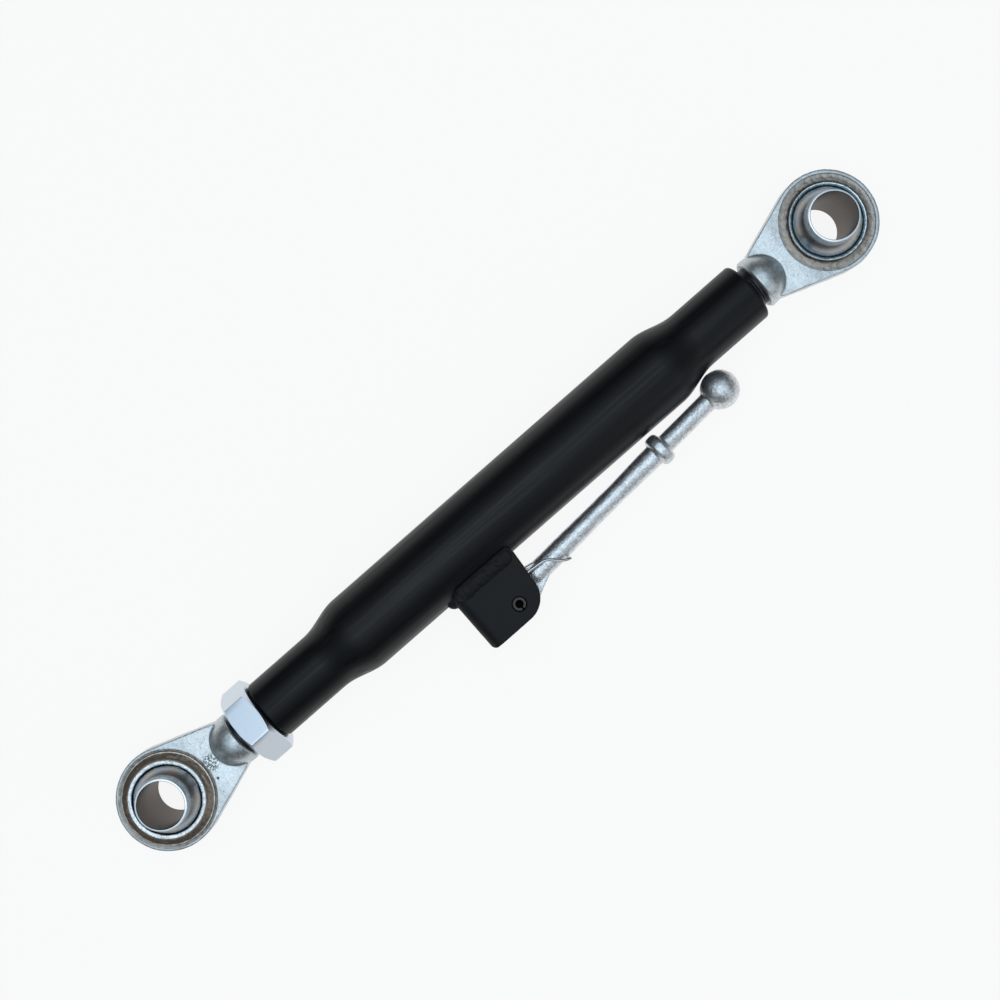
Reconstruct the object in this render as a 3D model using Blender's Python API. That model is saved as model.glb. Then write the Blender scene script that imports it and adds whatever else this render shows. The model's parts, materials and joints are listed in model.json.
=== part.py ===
# Tractor top link: a threaded barrel tube between two swivel ball ends, with a lock nut
# and a sprung handle in a welded bracket. Lengths are in metres.
# X runs along the link, Z along the pin bores, and the handle lies on the -Y side.
import math

import bmesh
import bpy
from mathutils import Vector

MM = 0.001

# Clearance between two pieces that touch or turn in each other
GAP = 0.3 * MM

# Barrel tube, swaged down at both ends
TUBE_LENGTH = 347 * MM
TUBE_DIAMETER = 44.8 * MM
TUBE_WALL = 4.4 * MM
TUBE_END_DIAMETER = 35 * MM
TUBE_END_LENGTH = 40 * MM
SWAGE_LENGTH = 26 * MM
TUBE_EDGE_RADIUS = 1.8 * MM

# Threaded rods, right-hand below and left-hand above, at the crest diameter
THREAD_DIAMETER = 27 * MM
ROD_LENGTH = 155 * MM
ROD_CHAMFER = 1.8 * MM
LOWER_THREAD_SHOWN = 3.4 * MM
UPPER_THREAD_SHOWN = 4.3 * MM

# Forged eyes with a staked socket
EYE_DIAMETER = 57 * MM
EYE_THICKNESS = 21 * MM
EYE_EDGE = 1.4 * MM
FLANK_RADIUS = 48 * MM
NECK_DIAMETER = 30 * MM
NECK_SHOULDER = 51 * MM
NECK_STRAIGHT = 3.5 * MM
NECK_CHAMFER = 1 * MM
DISH_DIAMETER = 53.8 * MM
DISH_DEPTH = 2.8 * MM
LIP_WIDTH = 2.3 * MM
LIP_FOOT = 1 * MM

# Swivel balls for a 25.4 mm hitch pin
BALL_DIAMETER = 42 * MM
BALL_WIDTH = 51 * MM
COLLAR_DIAMETER = 28 * MM
PIN_BORE = 25.6 * MM
BORE_CHAMFER = 0.5 * MM

# Lock nut
NUT_ACROSS_FLATS = 41 * MM
NUT_HEIGHT = 16 * MM
NUT_TURN = math.radians(10.35)
NUT_CHAMFER = math.radians(30)

# Handle bracket, a plate bent to a U and open towards the handle's ball
BRACKET_BACK = 58.6 * MM
BRACKET_EDGE = 10.2 * MM
BRACKET_WIDTH = 26 * MM
BRACKET_PLATE = 4.2 * MM
BRACKET_BEND = 7 * MM
LEG_END_INNER = 16.5 * MM
LEG_END_OUTER = 20 * MM
LEG_CORNER = 11 * MM
BACK_CORNER = 5 * MM

# Weld beads
SIDE_BEAD_LENGTH = 37 * MM
SIDE_BEAD_END = 18.5 * MM
SIDE_BEAD_LEG = 7.3 * MM
BACK_BEAD_LENGTH = 18 * MM
BACK_BEAD_LEG = 5 * MM
BEAD_TUBE_LEG = 2.3 * MM
BEAD_CROWN = 4.4 * MM
RIPPLE_PITCH = 3.4 * MM
BEAD_END_SWELL = 0.35
BEAD_LOW_SWELL = 0.72

# Slotted spring pin that the handle turns on
PIN_X = -32 * MM
PIN_STANDOFF = 23.2 * MM
PIN_DIAMETER = 8 * MM
PIN_WALL = 1.5 * MM
PIN_SLOT = 1.6 * MM
PIN_LENGTH = 25 * MM
PIN_CHAMFER = 0.6 * MM

# Cast handle, with the bar beside the pin
HANDLE_REST = 1.86 * MM
HANDLE_OFFSET = 4.6 * MM
ROOT_DIAMETER = 19.2 * MM
ROOT_THICKNESS = 8 * MM
ROOT_LENGTH = 24 * MM
ROOT_HEEL = 13.6 * MM
BAR_ROOT_DIAMETER = 12 * MM
BAR_WAIST_DIAMETER = 11 * MM
BAR_END_DIAMETER = 12.3 * MM
BAR_TIP_DIAMETER = 10.8 * MM
WAIST_SHARE = 0.58
COLLAR_AT = 113.2 * MM
COLLAR_RING_DIAMETER = 17.6 * MM
COLLAR_RING_WIDTH = 6.5 * MM
KNOB_AT = 159.3 * MM
KNOB_DIAMETER = 21.8 * MM

# Double torsion spring of round wire
WIRE_DIAMETER = 1.3 * MM
COIL_TURNS = 2
COIL_PITCH = 1.45 * MM
SPRING_LEG_EXIT = 14.5 * MM
SPRING_LEG_RISE = 9.8 * MM
SPRING_REST_BACK = 3 * MM
BAIL_AT = 37 * MM
CROSSING_BACK = 11 * MM
SHOULDER_BACK = 3.5 * MM
SHOULDER_RISE = 1.5 * MM
WIRE_BEND = 2.2 * MM

# Sides of round forms
ROUND_SIDES = 36
SMALL_SIDES = 24
CAST_SIDES = 18

# Worked out from the sizes above. The bracket's edge is its metal beyond the pin's centre,
# and the handle rests with its collar just off the tube.
PIN_Y = -TUBE_DIAMETER / 2 - PIN_STANDOFF
BRACKET_REACH = BRACKET_EDGE - PIN_Y
COLLAR_DROP = PIN_STANDOFF - HANDLE_REST - COLLAR_RING_DIAMETER / 2
HANDLE_TILT = math.asin(COLLAR_DROP / math.hypot(COLLAR_AT, HANDLE_OFFSET)) - math.atan2(
    HANDLE_OFFSET, COLLAR_AT
)
SPAN = (
    2 * NECK_SHOULDER + LOWER_THREAD_SHOWN + NUT_HEIGHT + GAP + TUBE_LENGTH + UPPER_THREAD_SHOWN
)
TUBE_CENTRE = (
    NECK_SHOULDER + LOWER_THREAD_SHOWN + NUT_HEIGHT + GAP + TUBE_LENGTH / 2 - SPAN / 2
)
THREAD_BORE = THREAD_DIAMETER + 2 * GAP
SOCKET_RADIUS = BALL_DIAMETER / 2 + GAP
SADDLE_RADIUS = TUBE_DIAMETER / 2 + GAP
ROOT_HOLE = PIN_DIAMETER + 2 * GAP


def ring_x(x, radius, sides):
    angles = [2 * math.pi * i / sides for i in range(sides)]
    return [Vector((x, radius * math.cos(a), radius * math.sin(a))) for a in angles]


def ring_z(z, radius, sides):
    angles = [2 * math.pi * i / sides for i in range(sides)]
    return [Vector((radius * math.cos(a), radius * math.sin(a), z)) for a in angles]


def arc(centre_x, centre_y, radius, start, end, steps):
    # Points of a circular arc in degrees, both ends included
    turns = [math.radians(start + (end - start) * i / steps) for i in range(steps + 1)]
    return [(centre_x + radius * math.cos(t), centre_y + radius * math.sin(t)) for t in turns]


def frame(name, location, parent=None, turn=0.0):
    empty = bpy.data.objects.new(name, None)
    empty.empty_display_size = 10 * MM
    empty.location = location
    empty.rotation_euler.z = turn
    empty.parent = parent
    bpy.context.scene.collection.objects.link(empty)
    return empty


def finish(name, shape, parent, material):
    bmesh.ops.remove_doubles(shape, verts=shape.verts, dist=0.0005 * MM)
    bmesh.ops.recalc_face_normals(shape, faces=shape.faces)
    mesh = bpy.data.meshes.new(name)
    shape.to_mesh(mesh)
    shape.free()
    mesh.shade_smooth()
    mesh.set_sharp_from_angle(angle=math.radians(32))
    body = bpy.data.objects.new(name, mesh)
    body.parent = parent
    if material:
        mesh.materials.append(material)
    bpy.context.scene.collection.objects.link(body)
    return body


def skinned(name, rings, parent, material=None, ends="flat"):
    # Ends are flat caps, joined to each other round a hole, or already closed at a point
    shape = bmesh.new()
    rows = [[shape.verts.new(point) for point in ring] for ring in rings]
    following = rows[1:] + rows[:1] if ends == "joined" else rows[1:]
    for near, far in zip(rows, following):
        for i in range(len(near)):
            j = (i + 1) % len(near)
            shape.faces.new((near[i], near[j], far[j], far[i]))
    if ends == "flat":
        shape.faces.new(rows[0])
        shape.faces.new(rows[-1])
    return finish(name, shape, parent, material)


def extruded(name, outline, bottom, top, parent, material=None, edge=0.0):
    # A flat outline in X and Y drawn up along Z, with its top and bottom edges bevelled
    shape = bmesh.new()
    low = shape.faces.new([shape.verts.new((x, y, bottom)) for x, y in outline])
    raised = bmesh.ops.extrude_face_region(shape, geom=[low])["geom"]
    lifted = [item for item in raised if isinstance(item, bmesh.types.BMVert)]
    bmesh.ops.translate(shape, verts=lifted, vec=(0, 0, top - bottom))
    if edge:
        rims = [e for e in shape.edges if abs(e.verts[0].co.z - e.verts[1].co.z) < MM / 100]
        bmesh.ops.bevel(shape, geom=rims, offset=edge, segments=2, profile=0.5, affect="EDGES")
    return finish(name, shape, parent, material)


def combine(body, tool, operation):
    tool.hide_render = True
    tool.display_type = "WIRE"
    step = body.modifiers.new(tool.name, "BOOLEAN")
    step.operation = operation
    step.solver = "EXACT"
    step.object = tool


def material(name, colour, metallic, roughness):
    made = bpy.data.materials.new(name)
    made.use_nodes = True
    shader = made.node_tree.nodes["Principled BSDF"]
    shader.inputs["Base Color"].default_value = (*colour, 1)
    shader.inputs["Metallic"].default_value = metallic
    shader.inputs["Roughness"].default_value = roughness
    made.diffuse_color = (*colour, 1)
    return made


def swage(start, end, radius_from, radius_to, steps):
    # An S-shaped change of radius, as (x, radius) points
    shares = [i / steps for i in range(steps + 1)]
    drop = radius_to - radius_from
    return [
        (start + (end - start) * s, radius_from + drop * (1 - math.cos(math.pi * s)) / 2)
        for s in shares
    ]


def mirrored(points):
    return [(-x, r) for x, r in reversed(points)]


def barrel_tube(parent, paint):
    end = TUBE_LENGTH / 2
    swage_end = end - TUBE_END_LENGTH
    swage_start = swage_end - SWAGE_LENGTH
    outer = swage(swage_start, swage_end, TUBE_DIAMETER / 2, TUBE_END_DIAMETER / 2, 8)
    centre = end - TUBE_EDGE_RADIUS
    edge = arc(centre, TUBE_END_DIAMETER / 2 - TUBE_EDGE_RADIUS, TUBE_EDGE_RADIUS, 90, 0, 3)
    outer = outer + edge
    inner = swage(swage_start, swage_end, TUBE_DIAMETER / 2 - TUBE_WALL, THREAD_BORE / 2, 5)
    inner = inner + [(end, THREAD_BORE / 2)]
    profile = mirrored(outer) + outer + inner[::-1] + [(-x, r) for x, r in inner]
    rings = [ring_x(x, r, ROUND_SIDES) for x, r in profile]
    return skinned("barrel_tube", rings, parent, paint, ends="joined")


def eye_outline():
    # Round the eye, then in along concave flanks to the neck and its round end
    eye = EYE_DIAMETER / 2
    neck = NECK_DIAMETER / 2
    reach = math.sqrt((eye + FLANK_RADIUS) ** 2 - (neck + FLANK_RADIUS) ** 2)
    lean = math.degrees(math.atan2(neck + FLANK_RADIUS, reach))
    tip = NECK_SHOULDER - NECK_CHAMFER - GAP
    tip_width = math.sqrt(neck**2 - (EYE_THICKNESS / 2) ** 2) - GAP
    flank = arc(reach, neck + FLANK_RADIUS, FLANK_RADIUS, 180 + lean, 270, 6)
    half = flank + [((reach + tip) / 2, (2 * neck + tip_width) / 3), (tip, tip_width)]
    round_eye = arc(0, 0, eye, 360 - lean, lean, 36)[1:-1]
    return [(x, -y) for x, y in reversed(half)] + round_eye + half


def eye_end(name, parent, steel):
    face = EYE_THICKNESS / 2
    plate = extruded(name, eye_outline(), -face, face, parent, steel, EYE_EDGE)

    neck = NECK_DIAMETER / 2
    dome_centre = NECK_SHOULDER - NECK_STRAIGHT
    dome = arc(dome_centre, 0, neck, 180, 90, 10)
    thread = THREAD_DIAMETER / 2
    rod_end = NECK_SHOULDER + ROD_LENGTH
    stem = dome + [
        (NECK_SHOULDER - NECK_CHAMFER, neck),
        (NECK_SHOULDER, neck - NECK_CHAMFER),
        (NECK_SHOULDER, thread),
        (rod_end - ROD_CHAMFER, thread),
        (rod_end, thread - ROD_CHAMFER),
        (rod_end, 0),
    ]
    rings = [ring_x(x, max(r, 0), ROUND_SIDES) for x, r in stem]
    combine(plate, skinned(name + "_stem", rings, parent, steel, ends="closed"), "UNION")

    reach = math.degrees(math.asin((face + MM) / SOCKET_RADIUS))
    socket = arc(0, 0, SOCKET_RADIUS, -reach, reach, 10)
    rings = [ring_z(z, r, ROUND_SIDES) for r, z in socket]
    combine(plate, skinned(name + "_socket", rings, parent), "DIFFERENCE")

    opening = math.sqrt(SOCKET_RADIUS**2 - face**2)
    lip = opening + LIP_WIDTH
    above = MM / DISH_DEPTH
    slope = DISH_DIAMETER / 2 - lip - LIP_FOOT
    groove = [
        (lip - LIP_FOOT * above, face + MM),
        (lip + LIP_FOOT, face - DISH_DEPTH),
        (DISH_DIAMETER / 2 + slope * above, face + MM),
    ]
    for side in (1, -1):
        rings = [ring_z(side * z, r, ROUND_SIDES) for r, z in groove]
        cutter = skinned(f"{name}_dish_{'top' if side > 0 else 'bottom'}", rings, parent, None, "joined")
        combine(plate, cutter, "DIFFERENCE")
    return plate


def swivel_ball(name, parent, steel):
    ball = BALL_DIAMETER / 2
    collar = COLLAR_DIAMETER / 2
    bore = PIN_BORE / 2
    half = BALL_WIDTH / 2
    reach = math.degrees(math.acos(collar / ball))
    outer = [(collar - BORE_CHAMFER, -half), (collar, BORE_CHAMFER - half)]
    outer += arc(0, 0, ball, -reach, reach, 12)
    outer += [(collar, half - BORE_CHAMFER), (collar - BORE_CHAMFER, half)]
    inner = [(bore, half), (bore, -half)]
    rings = [ring_z(z, r, ROUND_SIDES) for r, z in outer + inner]
    return skinned(name, rings, parent, steel, ends="joined")


def lock_nut(parent, steel):
    corner = NUT_ACROSS_FLATS / math.sqrt(3)
    rise = (corner - NUT_ACROSS_FLATS / 2) * math.tan(NUT_CHAMFER)
    angles = [NUT_TURN + math.radians(60 * i) for i in range(6)]
    rings = [
        [Vector((x, -corner * math.cos(a), corner * math.sin(a))) for a in angles]
        for x in (0, NUT_HEIGHT)
    ]
    nut = skinned("lock_nut", rings, parent, steel)
    flat = NUT_ACROSS_FLATS / 2
    over = corner + MM
    slope = (over - flat) * rise / (corner - flat)
    outer = [(0, flat - GAP), (slope, over), (NUT_HEIGHT - slope, over), (NUT_HEIGHT, flat - GAP)]
    bore = THREAD_BORE / 2
    edge = [(NUT_HEIGHT + MM, flat - GAP), (NUT_HEIGHT + MM, bore), (-MM, bore), (-MM, flat - GAP)]
    rings = [ring_x(x, r, ROUND_SIDES) for x, r in outer + edge]
    combine(nut, skinned("lock_nut_turning", rings, parent, None, "joined"), "INTERSECT")
    return nut


def handle_bracket(parent, paint):
    outer = BRACKET_WIDTH / 2
    inner = outer - BRACKET_PLATE
    bend = BRACKET_BACK - BRACKET_BEND
    inside = BRACKET_BEND - BRACKET_PLATE
    section = [(0, outer)]
    section += arc(-bend, outer - BRACKET_BEND, BRACKET_BEND, 90, 180, 6)
    section += arc(-bend, BRACKET_BEND - outer, BRACKET_BEND, 180, 270, 6)
    section += [(0, -outer), (0, -inner)]
    section += arc(-bend, inside - inner, inside, 270, 180, 4)
    section += arc(-bend, inner - inside, inside, 180, 90, 4)
    section += [(0, inner)]
    rings = [[Vector((x, y, z)) for x, z in section] for y in (0, -BRACKET_REACH - 5 * MM)]
    bracket = skinned("handle_bracket", rings, parent, paint)

    outline = [(-BRACKET_BACK - MM, 0), (-LEG_END_INNER, 0), (-LEG_END_INNER, -TUBE_DIAMETER / 2)]
    outline += arc(-LEG_END_OUTER - LEG_CORNER, LEG_CORNER - BRACKET_REACH, LEG_CORNER, 0, -90, 6)
    outline += arc(BACK_CORNER - BRACKET_BACK, BACK_CORNER - BRACKET_REACH, BACK_CORNER, -90, -180, 4)
    outline += [(-BRACKET_BACK - MM, BACK_CORNER - BRACKET_REACH)]
    side = extruded("bracket_side_view", outline, -outer - MM, outer + MM, parent)
    combine(bracket, side, "INTERSECT")

    rings = [ring_x(x, SADDLE_RADIUS, 2 * ROUND_SIDES) for x in (-BRACKET_BACK - 5 * MM, 5 * MM)]
    combine(bracket, skinned("bracket_saddle", rings, parent), "DIFFERENCE")
    combine(bracket, pin_hole("bracket_pin_hole", outer + MM, parent), "DIFFERENCE")
    return bracket


def pin_hole(name, reach, parent, centre=(PIN_X, PIN_Y)):
    shift = Vector((*centre, 0))
    rings = [[p + shift for p in ring_z(z, ROOT_HOLE / 2, SMALL_SIDES)] for z in (-reach, reach)]
    return skinned(name, rings, parent)


def bead_section(corner, along_tube, along_plate, crown, swell):
    # From the toe on the tube through the corner to the toe on the plate, and back over the crown
    toe = corner + along_tube
    foot = corner + along_plate
    top = (toe + foot) / 2 + crown * swell
    points = [toe, corner, foot]
    for i in range(1, 6):
        share = i / 6
        points.append(foot * (1 - share) ** 2 + top * 2 * share * (1 - share) + toe * share**2)
    return points


def ripples(length):
    # Stations along a bead, with how far the bead swells at each
    count = round(length / RIPPLE_PITCH)
    stations = [(0.0, BEAD_END_SWELL)]
    for i in range(count):
        start = 0.02 + 0.96 * i / count
        stations += [(start, BEAD_LOW_SWELL), (start + 0.53 / count, 1.0)]
    return stations + [(1.0, BEAD_END_SWELL)]


def leg_share(swell):
    # The toes of a bead move less than its crown
    return 0.6 + 0.4 * swell


def bent_half_width(x):
    # Half the bracket's outer width at x, less in the bends
    past = min(0, x + BRACKET_BACK - BRACKET_BEND)
    bend = math.sqrt(BRACKET_BEND**2 - past**2) - BRACKET_BEND
    return BRACKET_WIDTH / 2 + bend


def side_bead(name, side, parent, paint):
    rings = []
    for share, swell in ripples(SIDE_BEAD_LENGTH):
        x = -SIDE_BEAD_END - SIDE_BEAD_LENGTH * (1 - share)
        z = bent_half_width(x) + GAP
        radius = SADDLE_RADIUS
        y = -math.sqrt(radius**2 - z**2)
        up = Vector((0, z / radius, -y / radius))
        out = Vector((0, y / radius, z / radius))
        corner = Vector((x, y, z)) + out * GAP / 4
        leg = Vector((0, -SIDE_BEAD_LEG * leg_share(swell), 0))
        crown = Vector((0, -0.2, 1)) * BEAD_CROWN
        lifted = up * BEAD_TUBE_LEG + out * GAP / 2
        section = bead_section(corner, lifted, leg, crown, swell)
        rings.append([Vector((p.x, p.y, side * p.z)) for p in section])
    return skinned(name, rings, parent, paint)


def back_bead(parent, paint):
    rings = []
    for share, swell in ripples(BACK_BEAD_LENGTH):
        z = BACK_BEAD_LENGTH * (share - 0.5)
        flat = BRACKET_WIDTH / 2 - BRACKET_BEND
        past = max(0, abs(z) - flat)
        x = BRACKET_BEND - BRACKET_BACK - math.sqrt(BRACKET_BEND**2 - past**2) - GAP
        y = -math.sqrt(SADDLE_RADIUS**2 - z**2)
        corner = Vector((x, y, z))
        leg = Vector((0, -BACK_BEAD_LEG * leg_share(swell), 0))
        along = Vector((-BACK_BEAD_LEG * leg_share(swell), 0, 0))
        crown = Vector((-0.5, -0.5, 0)) * BEAD_CROWN / 2
        rings.append(bead_section(corner, along, leg, crown, swell))
    return skinned("weld_bead_back", rings, parent, paint)


def handle_pin(parent, steel):
    outer = PIN_DIAMETER / 2
    inner = outer - PIN_WALL
    half = PIN_LENGTH / 2
    section = [
        (inner, -half),
        (outer - PIN_CHAMFER, -half),
        (outer, PIN_CHAMFER - half),
        (outer, half - PIN_CHAMFER),
        (outer - PIN_CHAMFER, half),
        (inner, half),
    ]
    slot = math.asin(PIN_SLOT / 2 / outer)
    start = -math.pi / 2 + slot
    sweep = 2 * math.pi - 2 * slot
    rings = []
    for i in range(SMALL_SIDES + 1):
        a = start + sweep * i / SMALL_SIDES
        rings.append([Vector((PIN_X + r * math.cos(a), PIN_Y + r * math.sin(a), z)) for r, z in section])
    return skinned("handle_pin", rings, parent, steel)


def bar_profile():
    # (x, radius) from the flat root, over the waist, the collar and on to the knob
    root = BAR_ROOT_DIAMETER / 2
    waist = BAR_WAIST_DIAMETER / 2
    end = BAR_END_DIAMETER / 2
    tip = BAR_TIP_DIAMETER / 2
    knob = KNOB_DIAMETER / 2
    ring = COLLAR_RING_DIAMETER / 2
    half = COLLAR_RING_WIDTH / 2
    collar_start = COLLAR_AT - half
    middle = (ROOT_LENGTH + collar_start) * WAIST_SHARE
    profile = [(ROOT_LENGTH * 0.45, 0), (ROOT_LENGTH * 0.5, root * 0.6), (ROOT_LENGTH * 0.75, root)]
    profile += swage(ROOT_LENGTH, middle, root, waist, 5)
    profile += swage(middle, collar_start, waist, end, 4)[1:]
    profile += arc(COLLAR_AT, ring - half * 0.8, half * 0.8, 180, 0, 6)
    profile += [(COLLAR_AT + half, tip)]
    meet = math.degrees(math.asin(tip / knob))
    return profile + arc(KNOB_AT, 0, knob, 180 - meet, 0, 12)


def handle(parent, casting):
    half = ROOT_THICKNESS / 2
    eye = ROOT_DIAMETER / 2
    bar = BAR_ROOT_DIAMETER / 2
    outline = arc(0, 0, eye, 150, 280, 11)
    outline += [(ROOT_LENGTH * 0.8, HANDLE_OFFSET - bar * 0.9), (ROOT_LENGTH, HANDLE_OFFSET - bar / 2)]
    outline += [(ROOT_LENGTH, HANDLE_OFFSET + bar / 2), (ROOT_LENGTH * 0.85, HANDLE_OFFSET + bar)]
    outline += [(eye * 1.3, ROOT_HEEL * 0.93)] + arc(eye / 3, ROOT_HEEL - eye / 3, eye / 3, 70, 130, 4)
    grip = extruded("handle", outline, -half, half, parent, casting, PIN_CHAMFER)
    shift = Vector((0, HANDLE_OFFSET, 0))
    rings = [[p + shift for p in ring_x(x, max(r, 0), CAST_SIDES)] for x, r in bar_profile()]
    combine(grip, skinned("handle_bar", rings, parent, casting, ends="closed"), "UNION")
    combine(grip, pin_hole("handle_pin_hole", half + MM, parent, (0, 0)), "DIFFERENCE")
    return grip


def rounded(points, bend):
    # The corners of a wire's route turned into short arcs
    route = [points[0]]
    for before, corner, after in zip(points, points[1:], points[2:]):
        into = (before - corner).normalized()
        away = (after - corner).normalized()
        cut = min(bend, (before - corner).length / 2, (after - corner).length / 2)
        start, end = corner + into * cut, corner + away * cut
        for i in range(4):
            share = i / 3
            route.append(start * (1 - share) ** 2 + corner * 2 * share * (1 - share) + end * share**2)
    return route + [points[-1]]


def handle_spring(parent, steel):
    wire = WIRE_DIAMETER / 2
    coil = PIN_DIAMETER / 2 + GAP + wire + GAP
    low = ROOT_THICKNESS / 2 + GAP + wire
    high = low + COIL_TURNS * COIL_PITCH
    pin = Vector((PIN_X, PIN_Y, 0))

    # The fixed leg rests on the tube beside the bracket's back
    back = BRACKET_BACK - BRACKET_PLATE - WIRE_DIAMETER - SPRING_REST_BACK
    rest = Vector((-back, -math.sqrt(SADDLE_RADIUS**2 - low**2) - wire - GAP, low))
    # The moving leg leaves the bracket, crosses the bar and becomes the bail
    bar = BAR_ROOT_DIAMETER / 2
    tilt = math.tan(HANDLE_TILT)
    exit_point = Vector((PIN_X + SPRING_LEG_EXIT, PIN_Y + SPRING_LEG_RISE, high))
    axis_y = PIN_Y + HANDLE_OFFSET + BAIL_AT * tilt
    over = bar + wire + 2 * GAP
    bail_y = axis_y - bar - wire - 2 * GAP
    bail = Vector((PIN_X + BAIL_AT, bail_y, over - 2 * wire))
    crossing = Vector((bail.x - CROSSING_BACK, axis_y + bar / 4, over))
    shoulder = Vector((bail.x - SHOULDER_BACK, bail.y + SHOULDER_RISE, over - wire))

    entry = tangent_angle(pin, rest, coil, -1)
    leave = tangent_angle(pin, exit_point, coil, 1) - 360 * COIL_TURNS
    steps = 14 * COIL_TURNS
    turns = []
    for i in range(steps + 1):
        share = i / steps
        a = math.radians(entry + (leave - entry) * share)
        turns.append(pin + Vector((coil * math.cos(a), coil * math.sin(a), low + (high - low) * share)))
    leg = rounded([turns[-1], exit_point, crossing, shoulder, bail, Vector((bail.x, bail.y, 0))], WIRE_BEND)
    route = [rest] + turns + leg[1:-1]
    route += [Vector((p.x, p.y, -p.z)) for p in reversed(route)]

    curve = bpy.data.curves.new("handle_spring", "CURVE")
    curve.dimensions = "3D"
    curve.bevel_depth = wire
    curve.bevel_resolution = 2
    curve.use_fill_caps = True
    line = curve.splines.new("POLY")
    line.points.add(len(route) - 1)
    for spot, point in zip(line.points, route):
        spot.co = (*point, 1)
    curve.materials.append(steel)
    spring = bpy.data.objects.new("handle_spring", curve)
    spring.parent = parent
    bpy.context.scene.collection.objects.link(spring)
    return spring


def tangent_angle(centre, point, radius, side):
    # Where a straight leg through the point joins a coil wound clockwise, in degrees
    away = point - centre
    lean = math.acos(radius / math.hypot(away.x, away.y))
    return math.degrees(math.atan2(away.y, away.x) + side * lean)


def main():
    for item in list(bpy.data.objects):
        bpy.data.objects.remove(item)

    black = material("satin_black_paint", (0.02, 0.022, 0.026), 0.0, 0.38)
    matte = material("matte_black_paint", (0.03, 0.03, 0.032), 0.0, 0.6)
    forged = material("plated_forging", (0.62, 0.66, 0.7), 0.9, 0.42)
    ground = material("ground_ball_steel", (0.42, 0.46, 0.52), 0.95, 0.28)
    machined = material("plated_nut", (0.66, 0.72, 0.8), 0.95, 0.25)
    cast = material("plated_casting", (0.6, 0.62, 0.64), 0.85, 0.5)
    oiled = material("oiled_spring_steel", (0.08, 0.08, 0.085), 0.9, 0.4)
    bright = material("bright_wire", (0.55, 0.57, 0.6), 0.95, 0.3)

    link = frame("link_axis", (0, (BRACKET_REACH - EYE_DIAMETER / 2) / 2, BALL_WIDTH / 2))
    tube = frame("tube_centre", (TUBE_CENTRE, 0, 0), link)
    hinge = frame("handle_hinge", (PIN_X, PIN_Y, 0), tube, HANDLE_TILT)
    nut = frame("nut_face", (NECK_SHOULDER + LOWER_THREAD_SHOWN - SPAN / 2, 0, 0), link)
    lower = frame("lower_eye_centre", (-SPAN / 2, 0, 0), link)
    upper = frame("upper_eye_centre", (SPAN / 2, 0, 0), link, math.pi)

    barrel_tube(tube, black)
    handle_bracket(tube, matte)
    side_bead("weld_bead_top", 1, tube, matte)
    side_bead("weld_bead_bottom", -1, tube, matte)
    back_bead(tube, matte)
    handle_pin(tube, oiled)
    handle(hinge, cast)
    handle_spring(tube, bright)
    lock_nut(nut, machined)
    for where, centre in (("lower", lower), ("upper", upper)):
        eye_end(where + "_eye_end", centre, forged)
        swivel_ball(where + "_ball", centre, ground)


main()
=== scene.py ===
# Looks of a tractor top link: satin black barrel tube, zinc plated eyes with ground swivel
# balls, a lock nut, and a cast handle with its wire spring in a welded bracket.
import json
import math

import bmesh
import bpy
import numpy as np
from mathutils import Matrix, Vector, noise

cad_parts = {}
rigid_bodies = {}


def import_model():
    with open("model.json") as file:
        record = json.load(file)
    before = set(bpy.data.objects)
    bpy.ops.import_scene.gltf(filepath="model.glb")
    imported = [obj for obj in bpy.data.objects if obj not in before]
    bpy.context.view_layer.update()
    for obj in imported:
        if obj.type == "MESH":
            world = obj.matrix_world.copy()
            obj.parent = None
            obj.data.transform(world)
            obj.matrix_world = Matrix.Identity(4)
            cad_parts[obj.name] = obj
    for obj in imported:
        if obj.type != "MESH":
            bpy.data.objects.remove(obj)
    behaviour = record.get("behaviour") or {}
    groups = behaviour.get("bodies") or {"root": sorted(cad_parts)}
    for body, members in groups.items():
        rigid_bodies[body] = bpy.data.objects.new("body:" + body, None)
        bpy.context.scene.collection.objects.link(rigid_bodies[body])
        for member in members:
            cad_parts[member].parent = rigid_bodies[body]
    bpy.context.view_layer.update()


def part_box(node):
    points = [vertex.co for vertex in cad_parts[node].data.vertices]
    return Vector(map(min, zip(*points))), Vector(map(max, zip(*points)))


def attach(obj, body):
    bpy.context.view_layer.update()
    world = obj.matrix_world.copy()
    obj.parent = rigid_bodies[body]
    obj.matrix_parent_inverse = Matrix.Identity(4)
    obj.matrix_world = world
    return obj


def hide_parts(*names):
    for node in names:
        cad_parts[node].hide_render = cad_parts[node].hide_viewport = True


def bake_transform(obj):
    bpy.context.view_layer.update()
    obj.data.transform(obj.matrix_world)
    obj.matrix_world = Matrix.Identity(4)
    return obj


for item in list(bpy.data.objects):
    bpy.data.objects.remove(item)

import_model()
mm = 0.001


def middleOf(node):
    low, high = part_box(node)
    return (Vector(low) + Vector(high)) / 2


tubeMiddle = middleOf("barrel_tube")
linkY, linkZ = tubeMiddle.y, tubeMiddle.z  # the link's own axis
lowerEye = middleOf("lower_ball")
upperEye = middleOf("upper_ball")
pinMiddle = middleOf("handle_pin")
pivot = Vector((pinMiddle.x, pinMiddle.y, linkZ))  # on the pin's axis, at the link's height
print("frame loaded")


# Colours

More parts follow.
